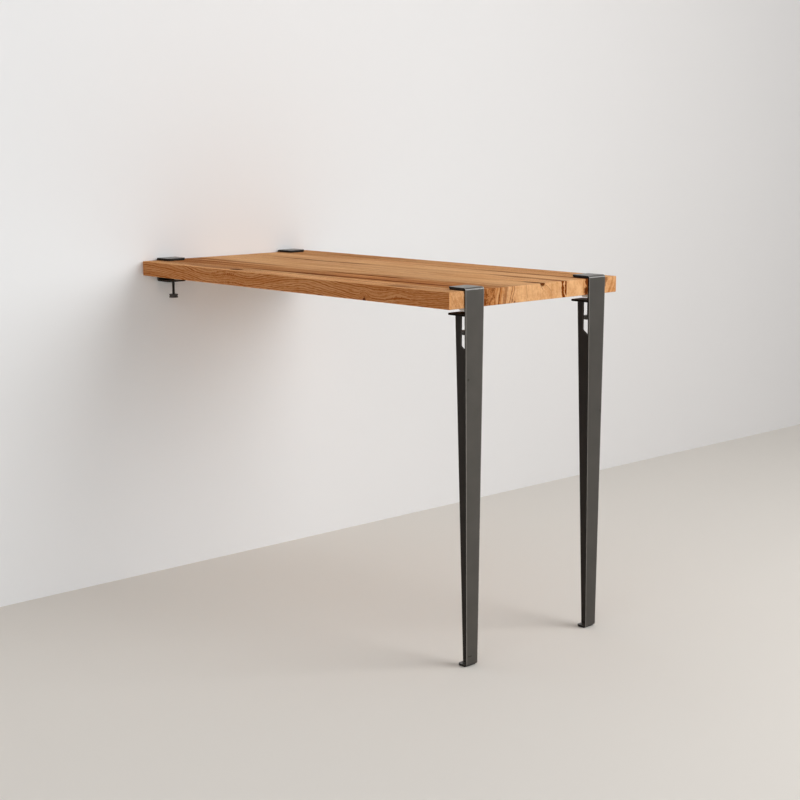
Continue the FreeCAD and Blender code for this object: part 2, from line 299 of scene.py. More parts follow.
def ladder_plate(side_points, thickness, edge, place, holes=()):
    """Plate that is symmetric about v = 0, from the (u, v) points of one side, end to end.

    A rounded rim runs round both sides. Each face is a ladder of quads from side to side, so
    it can follow a fold. Each hole (u, profile) sits on the centre line, on one rung's panel,
    which is then two faces round the hole and two triangles.
    """
    mirrored = side_points[::-1] * (1, -1)
    outline = np.vstack([side_points, mirrored])
    profile = rounded_edge(thickness, edge)
    points, edge_shading = rim(outline, profile, place)
    count, rungs = len(outline), len(side_points)
    faces = grid_faces(len(profile), count)
    starts = (0, (len(profile) - 1) * count)
    panels = {int(np.searchsorted(side_points[:, 0], u) - 1): (u, rows) for u, rows in holes}
    turns = HOLE_TURNS
    angle = full_turn(turns)
    for a in range(rungs - 1):
        corners = np.array([a, a + 1, count - 2 - a, count - 1 - a])
        if a not in panels:
            faces += [(corners + start).tolist() for start in starts]
            continue
        centre, rows = panels[a]
        radius, height = rows[:, :1], rows[:, 1:]
        u = centre + radius * np.cos(angle)
        wall = place(u, radius * np.sin(angle), np.broadcast_to(height, u.shape))
        first = len(points)
        points = np.vstack([points, wall.reshape(-1, 3)])
        edge_shading = np.concatenate([edge_shading, np.zeros(u.size)])
        faces += grid_faces(len(rows), turns, first=first)
        half_turn = turns // 2
        for start, circle in zip(starts, (first, first + (len(rows) - 1) * turns)):
            a_near, b_near, b_far, a_far = (corners + start).tolist()
            near_arc = list(range(circle, circle + half_turn + 1))
            far_arc = list(range(circle + half_turn, circle + turns)) + [circle]
            faces.append([a_near, b_near] + near_arc)
            faces.append([b_far, a_far] + far_arc)
            faces.append([b_far, b_near, circle])
            faces.append([a_near, a_far, circle + half_turn])
    return points, faces, edge_shading


def fold_line(corners, extra):
    """Mid-plane line of a folded plate through (x, z) corners, with a tangent arc of the fold's
    radius at each inner one. Gives the length, place and outer normal at each station, which
    are the ends of its steps and the extra lengths."""
    corners = np.array(corners, float)
    places, normals = [corners[0]], [turned_left(unit(corners[1] - corners[0]))]
    for before, corner, after in zip(corners, corners[1:], corners[2:]):
        into, out = unit(corner - before), unit(after - corner)
        angle = np.linspace(0, math.pi / 2, FOLD_STEPS + 1)[:, None]
        centre = corner - into * FOLD_RADIUS + out * FOLD_RADIUS
        arc_normals = -out * np.cos(angle) + into * np.sin(angle)
        places.append(centre + FOLD_RADIUS * arc_normals)
        normals.append(arc_normals)
    places.append(corners[-1])
    normals.append(turned_left(unit(corners[-1] - corners[-2])))
    places, normals = np.vstack(places), np.vstack(normals)
    length = np.concatenate([[0], np.cumsum(np.linalg.norm(np.diff(places, axis=0), axis=1))])
    stations = np.unique(np.concatenate([length, extra]))
    x, z = (np.interp(stations, length, places[:, i]) for i in (0, 1))
    nx, nz = (np.interp(stations, length, normals[:, i]) for i in (0, 1))
    return {"length": stations, "x": x, "z": z, "nx": nx, "nz": nz}


def turned_left(direction):
    return np.array([-direction[1], direction[0]])


def on_fold(line, centre_y):
    """Place (u, v, height) on a folded plate: u along the line, v along Y, height outwards."""
    def place(u, v, height):
        x, z, nx, nz = (np.interp(u, line["length"], line[key]) for key in ("x", "z", "nx", "nz"))
        return np.stack([x + height * nx, centre_y + v, z + height * nz], axis=-1)
    return place


def side_of_fold(line, half_width, start_corner, end_corner):
    """One side of a folded plate's flat pattern: half_width(z) at each station, and a quarter
    circle at each end."""
    length, z = line["length"], line["z"]
    end = length[-1]
    inner = (length > start_corner) & (length < end - end_corner)
    sines, cosines = quarter(CORNER_STEPS)
    opening = (start_corner * cosines, half_width(z[0]) - start_corner * sines)
    closing = (end - end_corner * sines, half_width(z[-1]) - end_corner * cosines)
    return np.hstack([opening, (length[inner], half_width(z[inner])), closing]).T


def turned_shape(radius, z, axis):
    """Surface about a vertical axis: row k of radii, spread evenly over a turn, at height z[k]."""
    angle = full_turn(radius.shape[1])
    points = np.stack([axis[0] + radius * np.cos(angle), axis[1] + radius * np.sin(angle),
                       np.broadcast_to(z[:, None], radius.shape)], axis=-1)
    return points.reshape(-1, 3), grid_faces(*radius.shape), np.zeros(radius.size)


def bead(start, end, side_a, side_b):
    """Weld bead in the corner between two faces that meet along a straight seam.

    Its section is a quarter circle of radius leg * (1 - share + share * |sin|) of the way along,
    which gives the ripples, and it swells from nothing at both ends as the root of the distance.
    A root a little inside the two faces closes it.
    """
    start, end = np.array(start, float), np.array(end, float)
    side_a, side_b = np.array(side_a, float), np.array(side_b, float)
    length = np.linalg.norm(end - start)
    along = np.linspace(0, length, max(int(length / WELD_RIPPLE * 5), 12))
    swell = np.sqrt(np.clip(np.minimum(along, length - along) / WELD_LEG, 0.0025, 1))
    ripple = WELD_RIPPLE_SHARE * np.abs(np.sin(math.pi * along / WELD_RIPPLE))
    radius = (WELD_LEG * swell * (1 - WELD_RIPPLE_SHARE + ripple))[:, None, None]
    angle = np.linspace(0, math.pi / 2, BEAD_STEPS + 1)[:, None]
    arc = radius * (np.cos(angle) * side_a + np.sin(angle) * side_b)
    root = -WELD_ROOT * (side_a + side_b) * np.ones((len(along), 1, 1))
    section = np.concatenate([arc, root], axis=1)
    points = start + unit(end - start) * along[:, None, None] + section
    return points.reshape(-1, 3), capped_faces(*section.shape[:2]), np.zeros(points[..., 0].size)


# ---- shader graphs ------------------------------------------------------------------------

class Graph:
    """Adds nodes to a shader tree. Each call gives the new node's output socket."""

    def __init__(self, tree):
        self.tree = tree

    def feed(self, socket, value):
        if isinstance(value, bpy.types.NodeSocket):
            self.tree.links.new(value, socket)
        else:
            socket.default_value = value

    def node(self, kind, inputs, **settings):
        made = self.tree.nodes.new(kind)
        for key, value in settings.items():
            setattr(made, key, value)
        for key, value in inputs.items():
            self.feed(made.inputs[key], value)
        return made

    def math(self, operation, a, b=0.0, c=0.0):
        return self.node("ShaderNodeMath", {0: a, 1: b, 2: c}, operation=operation).outputs[0]

    def times(self, a, b):
        return self.math("MULTIPLY", a, b)

    def plus(self, a, b):
        return self.math("ADD", a, b)

    def minus(self, a, b):
        return self.math("SUBTRACT", a, b)

    def over(self, a, b):
        return self.math("DIVIDE", a, b)

    def scaled(self, a, by, and_add):
        return self.math("MULTIPLY_ADD", a, by, and_add)

    def larger(self, a, b):
        return self.math("MAXIMUM", a, b)

    def vector(self, operation, a, b=(0, 0, 0)):
        return self.node("ShaderNodeVectorMath", {0: a, 1: b}, operation=operation).outputs

    def parts(self, vector):
        return self.node("ShaderNodeSeparateXYZ", {0: vector}).outputs

    def join(self, x, y, z):
        return self.node("ShaderNodeCombineXYZ", {0: x, 1: y, 2: z}).outputs[0]

    def step(self, value, low, high, out_low=0.0, out_high=1.0):
        """Smooth step of a value from low to high."""
        inputs = {"Value": value, "From Min": low, "From Max": high}
        inputs.update({"To Min": out_low, "To Max": out_high})
        return self.node("ShaderNodeMapRange", inputs, interpolation_type="SMOOTHSTEP").outputs[0]

    def noise(self, vector, detail=2.0, roughness=0.5, scale=1.0, output="Fac"):
        inputs = {"Vector": vector, "Scale": scale, "Detail": detail, "Roughness": roughness}
        return self.node("ShaderNodeTexNoise", inputs).outputs[output]

    def stretched(self, vector, by):
        """A vector times another, part by part."""
        return self.vector("MULTIPLY", vector, by)[0]

    def away(self, vector, centre):
        return self.vector("SUBTRACT", vector, centre)[0]

    def length(self, vector):
        return self.vector("LENGTH", vector)["Value"]

    def centred(self, noise):
        return self.minus(noise, 0.5)

    def random(self, value):
        """A different number from 0 to 1 for each whole number."""
        return self.node("ShaderNodeTexWhiteNoise", {"W": value}, noise_dimensions="1D").outputs[0]

    def mix(self, factor, a, b, blend="MIX"):
        settings = {"data_type": "RGBA", "blend_type": blend}
        return self.node("ShaderNodeMix", {0: factor, 6: a, 7: b}, **settings).outputs[2]

    def use(self, group, inputs):
        return self.node("ShaderNodeGroup", inputs, node_tree=group).outputs


class Group(Graph):
    """Graph of a node group with named sockets: group["Name"] is the input of that name, and
    give feeds the output of that name."""

    def __init__(self, name, inputs, outputs):
        super().__init__(bpy.data.node_groups.new(name, "ShaderNodeTree"))
        for label, value in inputs.items():
            kind = {3: "Vector", 4: "Color"}.get(np.size(value), "Float")
            socket = self.new_socket(label, "INPUT", kind)
            socket.default_value = value
        for label, kind in outputs.items():
            self.new_socket(label, "OUTPUT", kind)
        self.given = self.tree.nodes.new("NodeGroupInput").outputs
        self.result = self.tree.nodes.new("NodeGroupOutput").inputs

    def new_socket(self, label, way, kind):
        kind = f"NodeSocket{kind}"
        return self.tree.interface.new_socket(label, in_out=way, socket_type=kind)

    def __getitem__(self, label):
        return self.given[label]

    def give(self, label, value):
        self.feed(self.result[label], value)


def colour(red, green, blue):
    """Linear colour, with alpha, from display values of 0 to 255."""
    display = np.array([red, green, blue]) / 255
    linear = np.where(display <= 0.04045, display / 12.92, ((display + 0.055) / 1.055) ** 2.4)
    return (*linear.tolist(), 1.0)


def new_material(name, roughness, specular):
    """Material with one Principled shader. Gives it, its graph, its shader and its place."""
    material = bpy.data.materials.new(name)
    material.use_nodes = True
    graph = Graph(material.node_tree)
    shader = material.node_tree.nodes["Principled BSDF"]
    shader.inputs["Roughness"].default_value = roughness
    shader.inputs["Specular IOR Level"].default_value = specular
    place = material.node_tree.nodes.new("ShaderNodeTexCoord").outputs["Object"]
    return material, graph, shader, place


def relief(graph, shader, height, distance):
    """Bump from a height of 0 to 1, which stands for a distance in metres."""
    bump = graph.node("ShaderNodeBump", {"Height": height, "Distance": distance})
    graph.feed(shader.inputs["Normal"], bump.outputs[0])


# ---- oak ----------------------------------------------------------------------------------

PAINTED_LIGHT = (1.43, 1.42, 1.36, 1.0)               # painted light: times the colour of the wood where a side or a stretch of upper face is made lighter
BLACKENED = colour(84, 38, 6)                   # knots and drying checks

# Where a look fades in, from and to so many millimetres inside a face of the stave.
END_GRAIN = (3.0, 1.0)                          # from the front end
CALM_FACE = (2.5, 0.5)                          # from the upper face
# painted light on the upper face; from the upper face
PALE_FACE = (3.0, 0.0)
LIT_SIDE = (9.0, 2.0)                           # from the side painted lighter, a painted light that looks like pale outer wood
PALE_START, PALE_STOP = 150, -60                # along the board, at the ends of the upper face's stretch that painted light makes paler
CHECK_WIDTH, OAK_RELIEF = 0.0009, 0.00025       # metres


def tree_group():
    """Where a point of a board lay in its tree, in millimetres.

    Radius is the distance from the pith line, which drifts sideways along the board. Slow
    noise bends the pith line, a sine along the board sways the rings in and out, finer noise
    makes them waver, and a knot pushes them aside.
    """
    inputs = {"Point": (0, 0, 0), "Seed": 0.0, "Pith Y": 0.0, "Pith Z": 0.0, "Drift": 0.0,
              "Sway": 0.0, "Sway Length": 600.0, "Sway Start": 0.0, "Waver": 1.0, "Push": 0.0}
    outputs = {"Radius": "Float", "Around": "Float", "Place": "Vector"}
    g = Group("tree place", inputs, outputs)
    place = g.stretched(g["Point"], (1 / MM, 1 / MM, 1 / MM))
    x, y, z = g.parts(place)
    shift = g.times(g["Seed"], 137.0)
    seeded = g.vector("ADD", place, g.join(shift, g.times(shift, 0.7), shift))[0]
    slow = g.noise(g.stretched(seeded, (0.0021, 0.009, 0.009)), 1.0, output="Color")
    bend = g.stretched(g.away(slow, (0.5, 0.5, 0.5)), (0, 22, 22))
    _, bend_y, bend_z = g.parts(bend)
    fine = g.noise(g.stretched(seeded, (0.011, 0.06, 0.06)), 2.0)
    waver = g.times(g.centred(fine), g.times(g["Waver"], 5.0))
    phase = g.over(g.minus(x, g["Sway Start"]), g["Sway Length"])
    sway = g.times(g.math("SINE", g.times(phase, 2 * math.pi)), g["Sway"])
    from_front = g.minus(x, float(top_high[0]))
    pith_y = g.scaled(from_front, g["Drift"], g["Pith Y"])
    off_y = g.plus(g.minus(y, pith_y), bend_y)
    off_z = g.plus(g.minus(z, g["Pith Z"]), bend_z)
    radius = g.math("SQRT", g.plus(g.times(off_y, off_y), g.times(off_z, off_z)))
    for extra in (sway, waver, g["Push"]):
        radius = g.plus(radius, extra)
    g.give("Radius", radius)
    g.give("Around", g.math("ARCTAN2", off_z, off_y))
    g.give("Place", seeded)
    return g.tree


def heart_band_group():
    """Mask of a dark band of rings: 1 where the radius is near the band's, over a stretch of
    the board, with a wavering edge that thins and breaks along the grain."""
    inputs = {"Radius": 0.0, "Point": (0, 0, 0), "Seed": 0.0, "Centre": 0.0, "Width": 5.0,
              "From": 0.0, "To": 1.0, "Strength": 1.0}
    g = Group("heart band", inputs, {"Mask": "Float"})
    x = g.parts(g["Point"])["X"]
    shift = g.plus(g["Seed"], g["Centre"])
    spot = g.stretched(g["Point"], (9.0, 60.0, 110.0))
    spot = g.vector("ADD", spot, g.join(shift, shift, 0.0))[0]
    ragged = g.noise(spot, 3.0, 0.6)
    offset = g.math("ABSOLUTE", g.minus(g["Radius"], g["Centre"]))
    reach = g.times(g["Width"], g.scaled(ragged, 2.0, -0.3))
    mask = g.step(g.over(offset, g.larger(reach, 0.05)), 1.0, 0.6)
    start = g.step(x, g["From"], g.plus(g["From"], 0.12))
    stop = g.step(x, g["To"], g.minus(g["To"], 0.10))
    for factor in (start, stop, g["Strength"]):
        mask = g.times(mask, factor)
    g.give("Mask", mask)
    return g.tree


def knot_group():
    """A knot: a dark core with a paler heart, and how far it pushes the rings aside.

    Distance is measured from its middle and shrunk along its axis by Squeeze, so a small
    squeeze makes a long knot."""
    inputs = {"Point": (0, 0, 0), "Middle": (0, 0, 0), "Squeeze": (1, 1, 1), "Radius": 0.004}
    g = Group("knot", inputs, {"Mask": "Float", "Push": "Float"})
    away = g.stretched(g.away(g["Point"], g["Middle"]), g["Squeeze"])
    uneven = g.noise(g.stretched(g["Point"], (260, 260, 260)), 2.0)
    ratio = g.over(g.length(away), g["Radius"])
    ratio = g.plus(ratio, g.times(g.centred(uneven), 0.9))
    core = g.step(ratio, 1.15, 0.7)
    rings = g.scaled(g.math("SINE", g.times(ratio, 14.0)), 0.10, 0.90)
    g.give("Mask", g.times(core, rings))
    fall = g.math("POWER", 2.718, g.times(g.times(ratio, ratio), -0.16))
    g.give("Push", g.times(g.times(fall, g["Radius"]), 1400.0))
    return g.tree


def check_group():
    """A drying crack: a thin plane through a point, from the front end back to From X and down
    to Low Z, that wavers a little."""
    inputs = {"Point": (0, 0, 0), "On": (0, 0, 0), "Across": (0, 1, 0), "From X": 0.0,
              "Low Z": 0.0, "Width": 0.0005}
    g = Group("drying check", inputs, {"Mask": "Float"})
    x, _, z = g.parts(g["Point"])
    offset = g.away(g["Point"], g["On"])
    waver = g.noise(g.stretched(g["Point"], (30, 90, 160)), 2.0)
    waver = g.times(g.centred(waver), 0.004)
    away = g.vector("DOT_PRODUCT", offset, g["Across"])["Value"]
    distance = g.math("ABSOLUTE", g.plus(away, waver))
    mask = g.step(distance, g["Width"], g.times(g["Width"], 0.4))
    mask = g.times(mask, g.step(x, g["From X"], g.plus(g["From X"], 0.03)))
    mask = g.times(mask, g.step(z, g["Low Z"], g.plus(g["Low Z"], 0.006)))
    g.give("Mask", mask)
    return g.tree


def oak_group():
    """Oiled oak from its place in the tree.

    Each ring starts with a dark, porous line that fades outwards, and no two rings are alike.
    Broad bands follow the rings, long blotches and streaks follow the board, and fibres, pores
    and thin radial rays are drawn out along the grain. Stain and ragged mottling darken towards
    the heart colour, and painted light, on a side where it looks like pale outer wood and on a
    stretch of upper face, makes the wood lighter by factors of its own. End is 1 on the end grain,
    where the ring lines and the pores are fainter and the mottling breaks up the stain.
    """
    inputs = {"Radius": 0.0, "Around": 0.0, "Place": (0, 0, 0), "End": 0.0, "Painted Light": 0.0,
              "Ring Width": 2.5, "Lines": 1.0, "Bands": 1.0, "Dashes": 0.4, "Mottle": 0.0,
              "Stain": 0.0, "Black": 0.0, "Pale": colour(226, 178, 130),
              "Deep": colour(176, 116, 68), "Heart": colour(104, 56, 28)}
    outputs = {"Color": "Color", "Roughness": "Float", "Height": "Float"}
    g = Group("oiled oak", inputs, outputs)

    def drawn_out(along, across, detail=2.0, roughness=0.55):
        """Noise with so many features to the millimetre along the grain and across it."""
        place = g.stretched(g["Place"], (along, across, across))
        return g.noise(place, detail, roughness)

    x = g.parts(g["Place"])["X"]
    rings = g.over(g["Radius"], g["Ring Width"])
    ring, share = g.math("FLOOR", rings), g.math("FRACT", rings)
    own = g.random(ring)
    early = g.times(g.step(share, 0.0, 0.10), g.step(share, 0.62, 0.18))
    broken = g.step(drawn_out(0.045, 0.5), 0.30, 0.58)
    line = g.times(early, g.scaled(own, 0.75, 0.25))
    line = g.times(line, g.scaled(broken, 0.65, 0.35))
    line = g.times(line, g["Lines"])
    line = g.times(line, g.scaled(g["End"], -0.45, 1.0))

    band_place = g.join(g.times(g["Radius"], 0.11), g.times(x, 0.0016), 3.7)
    band = g.step(g.noise(band_place, 3.0, 0.6), 0.36, 0.66)
    blotch, streak = drawn_out(0.004, 0.035, 3.0), drawn_out(0.005, 0.16, 3.0)
    fibre = drawn_out(0.018, 1.1, 3.0, 0.6)
    fainter = g.scaled(g["End"], -0.75, 1.0)
    pore = g.times(g.step(drawn_out(0.12, 1.9, 1.0), 0.58, 0.70), g.scaled(early, 0.75, 0.25))
    pore = g.times(pore, fainter)
    dash = g.times(g.step(drawn_out(0.05, 0.75, 1.0), 0.54, 0.66), g["Dashes"])
    dash = g.times(dash, fainter)
    mottle = g.times(g.step(drawn_out(0.003, 0.12, 4.0, 0.7), 0.48, 0.62), g["Mottle"])
    mottle = g.times(mottle, g.scaled(g["End"], 0.65, 0.35))
    ray_place = g.join(g.times(g["Around"], 58.0), g.times(g["Radius"], 0.05), g.times(x, 0.03))
    ray = g.step(g.noise(ray_place, 2.0), 0.56, 0.72)

    tone = g.scaled(band, g["Bands"], 0.18)
    tone = g.scaled(line, 0.55, tone)
    tone = g.scaled(dash, 0.55, tone)
    fibrous = g.times(g.centred(fibre), g.scaled(g["End"], -0.6, 1.0))
    tone = g.scaled(fibrous, 0.8, tone)
    for noise, weight in ((blotch, 1.5), (streak, 1.1)):
        tone = g.scaled(g.centred(noise), weight, tone)
    tone = g.scaled(ray, -0.20, tone)
    tone = g.node("ShaderNodeClamp", {0: tone, 1: 0.0, 2: 1.25}).outputs[0]
    wood = g.mix(tone, g["Pale"], g["Deep"])
    dark = g.scaled(pore, 0.36, g.times(line, 0.36))
    dark = g.scaled(dash, 0.14, dark)
    wood = g.mix(dark, wood, g["Heart"])
    clear = g.minus(g["Mottle"], mottle)
    stain = g.times(g["Stain"], g.minus(1.0, g.times(clear, g["End"])))
    wood = g.mix(g.larger(stain, mottle), wood, g["Heart"])
    # Painted light: where it is given, the wood goes lighter by fixed factors, less on the end grain.
    painted_light_mask = g.times(g["Painted Light"], g.scaled(g["End"], -0.7, 1.0))
    wood = g.mix(painted_light_mask, wood, PAINTED_LIGHT, "MULTIPLY")
    wood = g.mix(g["Black"], wood, BLACKENED)
    g.give("Color", wood)
    rough = g.scaled(pore, 0.12, 0.70)
    g.give("Roughness", g.scaled(g.centred(fibre), 0.10, rough))
    height = g.scaled(pore, -0.55, g.times(fibre, 0.35))
    height = g.scaled(line, -0.20, height)
    g.give("Height", g.scaled(g["Black"], -1.2, height))
    return g.tree


def glue_line_group():
    """Mask of the thin glue lines on both sides of a stave, from its two side faces' Y."""
    inputs = {"Point": (0, 0, 0), "Left": 0.0, "Right": 1.0, "Width": 0.00045}
    g = Group("glue line", inputs, {"Mask": "Float"})
    y = g.parts(g["Point"])["Y"]
    to_left = g.minus(y, g["Left"])
    to_right = g.minus(g["Right"], y)
    nearest = g.math("MINIMUM", to_left, to_right)
    g.give("Mask", g.step(nearest, g["Width"], 0.0))
    return g.tree


TREE, HEART_BAND, KNOT = tree_group(), heart_band_group(), knot_group()
CHECK, OAK, GLUE_LINE = check_group(), oak_group(), glue_line_group()

# One board each. pith is where the pith lies from the middle of the board's front end (y, z).
# bands are dark heart bands (y from the middle, width, from x, to x, strength); knots are
# (x, y, z, squeeze, radius, darkness) and checks (y, z, across, from x, low z), in millimetres.
# upper is how much paler a stretch of the upper face is painted, as painted light (from x, to x,
# strength), and calm how even. A side flag marks the board whose low-Y side gets painted light,
# which looks like pale outer wood.
BOARDS = {
    1: {"pith": (110, 70), "rings": 2.5, "sway": (8.5, 640, 530), "lines": 2.5, "bands_depth": 0.2,
        "dashes": 1.0, "painted_light_side": True, "tone": "tan",
        "bands": [(27, 8, 250, 1500, 0.45), (0, 9, 950, 1110, 0.55), (12, 26, -300, 430, 0.38)],
        "knots": [(919, -300, -20, (1.3, 0.15, 0.8), 7.5, 0.9), (392, -273, 20, (0.4, 0.8, 0.4), 10.5, 0.95),
                  (1030, -300, 10, (0.5, 0.2, 0.9), 7.0, 0.0), (1022, -279, 20, (0.2, 0.6, 0.5), 9.0, 0.1)],
        "upper": (430, 1000, 0.75), "calm": 0.7},
    2: {"pith": (-64, 12), "rings": 2.7, "sway": (3.0, 900, 0), "drift": 0.065, "lines": 1.0,
        "bands_depth": 0.7, "waver": 2.4, "mottle": 0.75, "tone": "russet",
        "bands": [(11.0, 17, 40, 1500, 1.0), (-30, 5, 700, 1500, 0.5)],
        "upper": (600, 1500, 0.40)},
    3: {"pith": (120, -20), "rings": 2.3, "sway": (3.0, 760, 120), "lines": 0.9, "bands_depth": 0.7,
        "tone": "tan", "bands": [(-10, 3, 940, 1500, 0.9), (-18, 15, 560, 930, 1.0), (10, 11, 680, 1500, 0.5),
                                 (4, 26, -300, 420, 0.4)]},
    4: {"pith": (-95, 16), "rings": 2.9, "sway": (4.0, 1100, 300), "lines": 0.8, "bands_depth": 0.3,
        "tone": "pale", "bands": [(-22, 3.0, 800, 1500, 0.6), (-15, 2.6, 980, 1500, 0.5)],
        "knots": [(1204, -88, -13, (0.15, 1, 0.7), 3.5, 0.3), (1204, -80, -17, (0.15, 1, 1), 3.0, 0.4)]},
    5: {"pith": (105, 30), "rings": 3.1, "sway": (3.0, 980, 200), "lines": 0.8, "bands_depth": 0.3,
        "tone": "pale", "bands": [(-20, 2.0, 1000, 1500, 0.3), (6, 2.4, 300, 900, 0.4)],
        "upper": (820, 1500, 0.15)},
    6: {"pith": (-58, -34), "rings": 2.6, "sway": (3.0, 700, 90), "lines": 0.9, "bands_depth": 0.4,
        "tone": "pale", "bands": [(15, 2.0, 900, 1500, 0.35), (-8, 5, 990, 1110, 0.9)],
        "knots": [(1200, 19, 20, (0.12, 0.8, 1.1), 8.0, 0.9)],
        "checks": [(18, 9, (0, 0.9, 0.44), 1130, 2)], "upper": (820, 1500, 0.30)},
    7: {"pith": (78, 6), "rings": 2.8, "sway": (4.0, 820, 420), "lines": 0.9, "bands_depth": 0.35,
        "tone": "pale", "bands": [(12, 8, 960, 1500, 1.0), (26, 9, 880, 1500, 1.0),
                                  (-3, 11, 100, 560, 1.0)],
        "upper": (820, 1500, 0.25)},
    8: {"pith": (-130, -10), "rings": 3.3, "sway": (2.0, 1200, 0), "lines": 0.5, "bands_depth": 0.2,
        "tone": "pale", "bands": [(10, 4, 300, 760, 0.4)], "upper": (300, 1500, 0.12)},
    9: {"pith": (92, -26), "rings": 2.5, "sway": (3.0, 740, 260), "lines": 0.9, "bands_depth": 0.55,
        "tone": "tan", "bands": [(-28, 10, 780, 1500, 1.0), (14, 4, 100, 640, 0.6)],
        "knots": [(1204, 182, -9, (0.15, 1.2, 0.9), 8.5, 1.0)], "upper": (300, 1500, 0.18)},
    10: {"pith": (-74, 40), "rings": 2.4, "sway": (4.0, 860, 500), "lines": 0.9, "bands_depth": 0.6,
         "dashes": 0.6, "tone": "tan", "bands": [(-33, 10, 140, 400, 0.6), (-25, 7, 900, 1500, 0.6)],
         "upper": (560, 1500, 0.30)},
}

TONES = {
    "pale": (colour(228, 178, 128), colour(192, 134, 82), colour(118, 56, 16)),
    "tan": (colour(222, 171, 121), colour(180, 118, 66), colour(112, 54, 16)),
    "russet": (colour(206, 146, 92), colour(150, 88, 42), colour(112, 54, 14)),
}
SLOTS = {"pale": "oak_pale", "tan": "oak_golden", "russet": "oak_russet"}


def oak_material(number, low, high):
    """Oak of one stave: its own rings, bands, knots and checks, cut as one block."""
    board = BOARDS[number]
    material, g, shader, point = new_material(f"oak_{number}", 0.7, 0.012)
    centre = float(low[1] + high[1]) / 2
    pith_y, pith_z = centre + board["pith"][0], float(board["pith"][1])
    sway, sway_length, sway_start = board["sway"]
    stain, black, push = 0.0, 0.0, 0.0
    for x, y, z, squeeze, radius, darkness in board.get("knots", ()):
        knot = g.use(KNOT, {"Point": point, "Middle": (x * MM, y * MM, z * MM),
                            "Squeeze": squeeze, "Radius": radius * MM})
        stain = g.larger(stain, g.times(knot["Mask"], 0.45 + 0.55 * darkness))
        black = g.larger(black, g.times(knot["Mask"], darkness))
        push = g.plus(push, g.times(knot["Push"], 0.3 + 0.7 * darkness))
    tree = g.use(TREE, {"Point": point, "Seed": float(number), "Pith Y": pith_y, "Pith Z": pith_z,
                        "Drift": board.get("drift", 0.0), "Sway": sway, "Sway Length": sway_length,
                        "Sway Start": sway_start, "Waver": board.get("waver", 1.0), "Push": push})
    for y, width, start, stop, strength in board["bands"]:
        band_radius = math.hypot(centre + y - pith_y, pith_z)
        band = g.use(HEART_BAND, {"Radius": tree["Radius"], "Point": point, "Seed": number * 7.3,
                                  "Centre": band_radius, "Width": width, "From": start * MM,
                                  "To": stop * MM, "Strength": strength})
        stain = g.larger(stain, band["Mask"])
    for y, z, across, start, stop in board.get("checks", ()):
        check = g.use(CHECK, {"Point": point, "On": (top_high[0] * MM, y * MM, z * MM),
                              "Across": across, "From X": start * MM, "Low Z": stop * MM,
                              "Width": CHECK_WIDTH})
        black = g.larger(black, check["Mask"])
    glue = g.use(GLUE_LINE, {"Point": point, "Left": low[1] * MM, "Right": high[1] * MM})
    stain = g.larger(stain, g.times(glue["Mask"], 0.6))
    pale, deep, heart = TONES[board["tone"]]
    x, y, z = g.parts(point)

    def near_face(value, face, depths, inwards, strength=1.0):
        """Fades from 0 to a strength between two depths inside a face."""
        edges = ((float(face) + inwards * depth) * MM for depth in depths)
        return g.step(value, *edges, 0.0, strength)

    end = near_face(x, high[0], END_GRAIN, -1)
    end = g.larger(end, near_face(z, high[2], CALM_FACE, -1, board.get("calm", 0.0)))
    # Painted light, as one mask: the low-Y side of the board with the side flag, looking like pale outer
    # wood, and a stretch of the upper face, painted paler as light falling on it.
    painted_light_mask = near_face(y, low[1], LIT_SIDE, 1) if board.get("painted_light_side") else 0.0
    start, stop, strength = board.get("upper", (0, 1, 0.0))
    upper = near_face(z, high[2], PALE_FACE, -1, strength)
    upper = g.times(upper, g.step(x, start * MM, (start + PALE_START) * MM))
    upper = g.times(upper, g.step(x, stop * MM, (stop + PALE_STOP) * MM))
    painted_light_mask = g.larger(painted_light_mask, upper)
    oak = g.use(OAK, {"Radius": tree["Radius"], "Around": tree["Around"], "Place": tree["Place"],
                      "End": end, "Painted Light": painted_light_mask, "Ring Width": board["rings"],
                      "Lines": board["lines"], "Bands": board["bands_depth"],
                      "Dashes": board.get("dashes", 0.35), "Mottle": board.get("mottle", 0.0),
                      "Stain": stain, "Black": black, "Pale": pale, "Deep": deep, "Heart": heart})
    g.feed(shader.inputs["Base Color"], oak["Color"])
    g.feed(shader.inputs["Roughness"], oak["Roughness"])
    relief(g, shader, oak["Height"], OAK_RELIEF)
    return material


def stave_shell(low, high, outer_left, outer_right):
    """One stave: a rounded rectangle in Y and Z, carried along X.

    At each end the section draws in by edge * (1 - sin a) while X moves by
    edge * (1 - cos a), which eases the end; the sides draw in only where they are the outside
    of the top. Its corners are eased there, and barely broken at a glue line.
    """
    draw, run = (EASED_EDGE * way for way in quarter(STAVE_STEPS))
    x = np.concatenate([low[0] + run, high[0] - run[::-1]])
    rows = []
    for here, shrink in zip(x, np.concatenate([draw, draw[::-1]])):
        eased = max(EASED_EDGE - shrink, GLUE_EDGE)
        left, left_edge = (low[1] + shrink, eased) if outer_left else (low[1], GLUE_EDGE)
        right, right_edge = (high[1] - shrink, eased) if outer_right else (high[1], GLUE_EDGE)
        bottom, top = low[2] + shrink, high[2] - shrink
        section = rounded_outline([(left, bottom, left_edge), (right, bottom, right_edge),
                                   (right, top, right_edge), (left, top, left_edge)], STAVE_STEPS)
        rows.append(np.column_stack([np.full(len(section), here), section]))
    points = np.array(rows)
    return points.reshape(-1, 3), capped_faces(*points.shape[:2]), None


def make_top():
    for number in STAVES:
        node = f"tabletop_stave_{number}"
        low, high = span(node)
        shell = stave_shell(low, high, number == STAVES[0], number == STAVES[-1])
        make_piece(f"oak_stave_{number}", shell, oak_material(number, low, high), "table",
                   SLOTS[BOARDS[number]["tone"]], [node])


# ---- coated steel -------------------------------------------------------------------------

